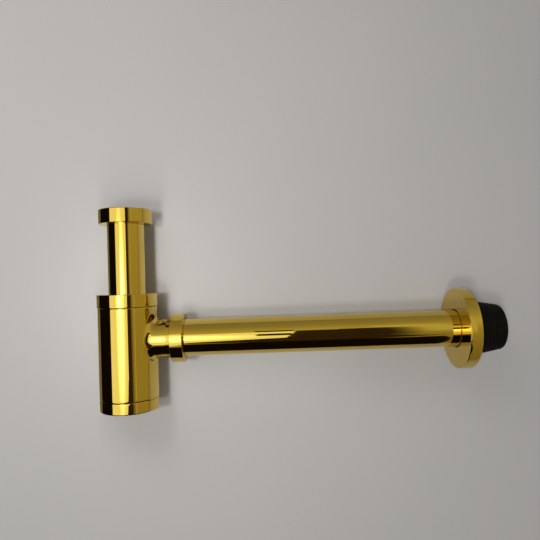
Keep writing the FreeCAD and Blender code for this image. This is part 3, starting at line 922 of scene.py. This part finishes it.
def make_card(name, corner, along, up, colour, strength, glows=(), fade=None):
    """A card that only reflections see. A glow is a brighter spot: place, size and added strength.
    A fade is an axis and the places on it between which the card turns clear."""
    card = make_sheet(name, Vector(corner), Vector(along), Vector(up))
    card.visible_camera = False
    card.visible_diffuse = False
    card.visible_shadow = False
    card.visible_transmission = False
    material, tree, shader = new_material(name)
    tree.nodes.remove(shader)
    emission = add_node(tree, "ShaderNodeEmission", inputs={"Color": (*colour, 1.0), "Strength": strength})
    surface = emission.outputs["Emission"]
    if glows or fade:
        position = add_node(tree, "ShaderNodeTexCoord").outputs["Object"]
    total = strength
    for place, size, peak in glows:
        away = add_node(tree, "ShaderNodeVectorMath", operation="DISTANCE")
        away.inputs[1].default_value = place
        tree.links.new(position, away.inputs[0])
        glow = add_node(tree, "ShaderNodeMapRange", interpolation_type="SMOOTHSTEP", inputs={
            "From Min": 0.0, "From Max": size, "To Min": peak, "To Max": 0.0,
        })
        tree.links.new(away.outputs["Value"], glow.inputs["Value"])
        total = calculate(tree, "ADD", glow.outputs["Result"], total)
        tree.links.new(total, emission.inputs["Strength"])
    if fade:
        axis, start, end = fade
        split = add_node(tree, "ShaderNodeSeparateXYZ")
        tree.links.new(position, split.inputs["Vector"])
        clearness = map_range(tree, split.outputs[axis], start, end, 0.0, 1.0)
        clear = add_node(tree, "ShaderNodeBsdfTransparent").outputs["BSDF"]
        surface = blend_shaders(tree, clearness, surface, clear)
    tree.links.new(surface, tree.nodes["Material Output"].inputs["Surface"])
    card.data.materials.append(material)


def make_upright_card(name, corner, width, height, colour, strength, glows=(), fade=None):
    """A card that stands upright, square to the y axis, from its lower left corner."""
    make_card(name, corner, (width, 0.0, 0.0), (0.0, 0.0, height), colour, strength, glows, fade)


def make_cards():
    make_upright_card("soft_window", (-2.30, -1.5, -1.12), 2.80, 1.58, (1.0, 1.0, 0.90), 1.2, glows=[
        ((-0.36, -1.5, -0.18), 0.54, 3.0),
        ((-0.44, -1.5, -0.05), 0.19, 6.4),
    ])
    make_card("dark_strip", (0.148, -0.74, -0.75), (0.40, 0.0, 0.0), (0.045, 0.0, 0.97),
              WARM_BLACK, DIM, fade=("X", 0.34, 0.52))
    make_upright_card("far_dark_strip", (0.42, -1.45, -1.40), 0.36, 2.0,
                      WARM_BLACK, DIM, fade=("X", 0.60, 0.735))
    make_upright_card("low_bar", (0.104, -0.43, -0.12), 0.06, 0.088, WARM_BLACK, DIM)
    make_upright_card("high_bar", (0.10, -0.43, 0.062), 0.07, 0.06, WARM_BLACK, DIM)
    make_card("slant_flag", (-0.30, -1.48, -1.02), (0.62, 0.0, 0.60), (0.6, 0.0, -0.6), SOFT_BLACK, DIM)
    make_upright_card("right_glow", (0.60, -1.5, -0.45), 0.33, 1.55, (1.0, 0.95, 0.52), 0.58,
                      fade=("Z", 0.0, -0.45))
    make_upright_card("edge_glow", (1.19, -1.5, -0.7), 0.15, 1.2, (1.0, 0.86, 0.36), 0.55)
    make_card("left_flag", (-0.107, -0.097, -0.6), (0.0, 0.124, 0.0), (0.0, 0.0, 1.1),
              SOFT_BLACK, DARKEST)
    make_card("low_flag", (0.327, 0.02, -0.29), (-2.2, 0.0, 0.0), (0.178, -0.52, -0.24),
              SOFT_BLACK, DARKEST)
    make_upright_card("left_shade", (-0.5, 0.0225, -0.6), 0.455, 1.1, (1.0, 0.93, 0.72), 0.2)


def make_lamp(name, place, target, colour, width, height, energy):
    """A lamp for the board and the rubber, which the polished metal doesn't mirror."""
    data = bpy.data.lights.new(name, "AREA")
    data.shape = "RECTANGLE"
    data.size = width
    data.size_y = height
    data.energy = energy
    data.color = colour
    lamp = bpy.data.objects.new(name, data)
    lamp.location = place
    lamp.rotation_euler = (Vector(target) - Vector(place)).to_track_quat("-Z", "Y").to_euler()
    lamp.visible_camera = False
    lamp.visible_glossy = False
    bpy.context.scene.collection.objects.link(lamp)


def make_lamps():
    """Three lamps of the room, then two for the light that the metal throws back on the board."""
    make_lamp("key_lamp", (-0.135, -0.95, -0.05), (0.1, 0.0, -0.1), LAMP_WHITE,
              width=0.09, height=0.09, energy=2.68)
    make_lamp("low_lamp", (-0.09, -0.95, -0.31), (0.1, 0.0, -0.1), LAMP_WHITE,
              width=0.09, height=0.16, energy=1.62)
    make_lamp("top_fill_lamp", (-0.22, -0.5, 0.45), (0.1, 0.0, 0.0), LAMP_WHITE,
              width=0.6, height=0.3, energy=1.1)
    make_lamp("front_bounce", (0.0, -0.085, -0.08), (0.0, 0.0, -0.08), BOUNCE_WHITE,
              width=0.016, height=0.10, energy=0.038)
    make_lamp("low_bounce", (0.115, -0.005, -0.152), (0.115, 0.02, -0.152), BOUNCE_WHITE,
              width=0.16, height=0.006, energy=0.0028)


def make_world():
    """Plain grey to the eye, dimmer as a light, and in reflections a room that is brightest
    a little above the horizon."""
    seen_grey = (0.43, 0.423, 0.41, 1.0)
    dim_grey = (0.20, 0.198, 0.194, 1.0)
    mirrored_floor = (0.22, 0.17, 0.08, 1.0)
    mirrored_ceiling = (0.27, 0.25, 0.20, 1.0)
    mirrored_between = {
        0.5: (0.40, 0.34, 0.13, 1.0),
        0.70: (0.56, 0.515, 0.25, 1.0),
        0.92: (0.32, 0.29, 0.165, 1.0),
    }
    world = bpy.data.worlds.new("soft_studio")
    bpy.context.scene.world = world
    world.use_nodes = True
    tree = world.node_tree
    seen = tree.nodes["Background"]
    seen.inputs["Color"].default_value = seen_grey
    around = add_node(tree, "ShaderNodeBackground", inputs={"Color": dim_grey})
    mirrored = add_node(tree, "ShaderNodeBackground")
    direction = add_node(tree, "ShaderNodeTexCoord")
    split = add_node(tree, "ShaderNodeSeparateXYZ")
    tree.links.new(direction.outputs["Generated"], split.inputs["Vector"])
    ramp = add_node(tree, "ShaderNodeValToRGB")
    ramp.color_ramp.elements[0].color = mirrored_floor
    ramp.color_ramp.elements[1].color = mirrored_ceiling
    for height, colour in mirrored_between.items():
        ramp.color_ramp.elements.new(height).color = colour
    tree.links.new(map_range(tree, split.outputs["Z"], -1.0, 1.0, 0.0, 1.0), ramp.inputs["Fac"])
    tree.links.new(ramp.outputs["Color"], mirrored.inputs["Color"])
    path = add_node(tree, "ShaderNodeLightPath")
    by_gloss = blend_shaders(tree, path.outputs["Is Glossy Ray"],
                             around.outputs["Background"], mirrored.outputs["Background"])
    by_camera = blend_shaders(tree, path.outputs["Is Camera Ray"], by_gloss, seen.outputs["Background"])
    tree.links.new(by_camera, tree.nodes["World Output"].inputs["Surface"])


def make_camera():
    """The photo's camera: it stands before the trap, a little turned, tipped and rolled."""
    place = (0.12160, -0.42746, -0.06506)
    turned = Matrix.Rotation(-0.0108, 3, "Z")
    tipped = Matrix.Rotation(0.0201, 3, "X")
    rolled = Matrix.Rotation(0.0331, 3, "Y")
    level = Matrix.Rotation(math.pi / 2, 3, "X")
    data = bpy.data.cameras.new("photo_camera")
    data.lens = 32.25
    data.sensor_width = 36.0
    camera = bpy.data.objects.new("photo_camera", data)
    aim = turned @ tipped @ rolled @ level
    camera.matrix_world = Matrix.Translation(place) @ aim.to_4x4()
    bpy.context.scene.collection.objects.link(camera)
    bpy.context.scene.camera = camera


make_board()
make_cards()
make_lamps()
make_world()
make_camera()
bpy.context.scene.view_settings.view_transform = "Standard"
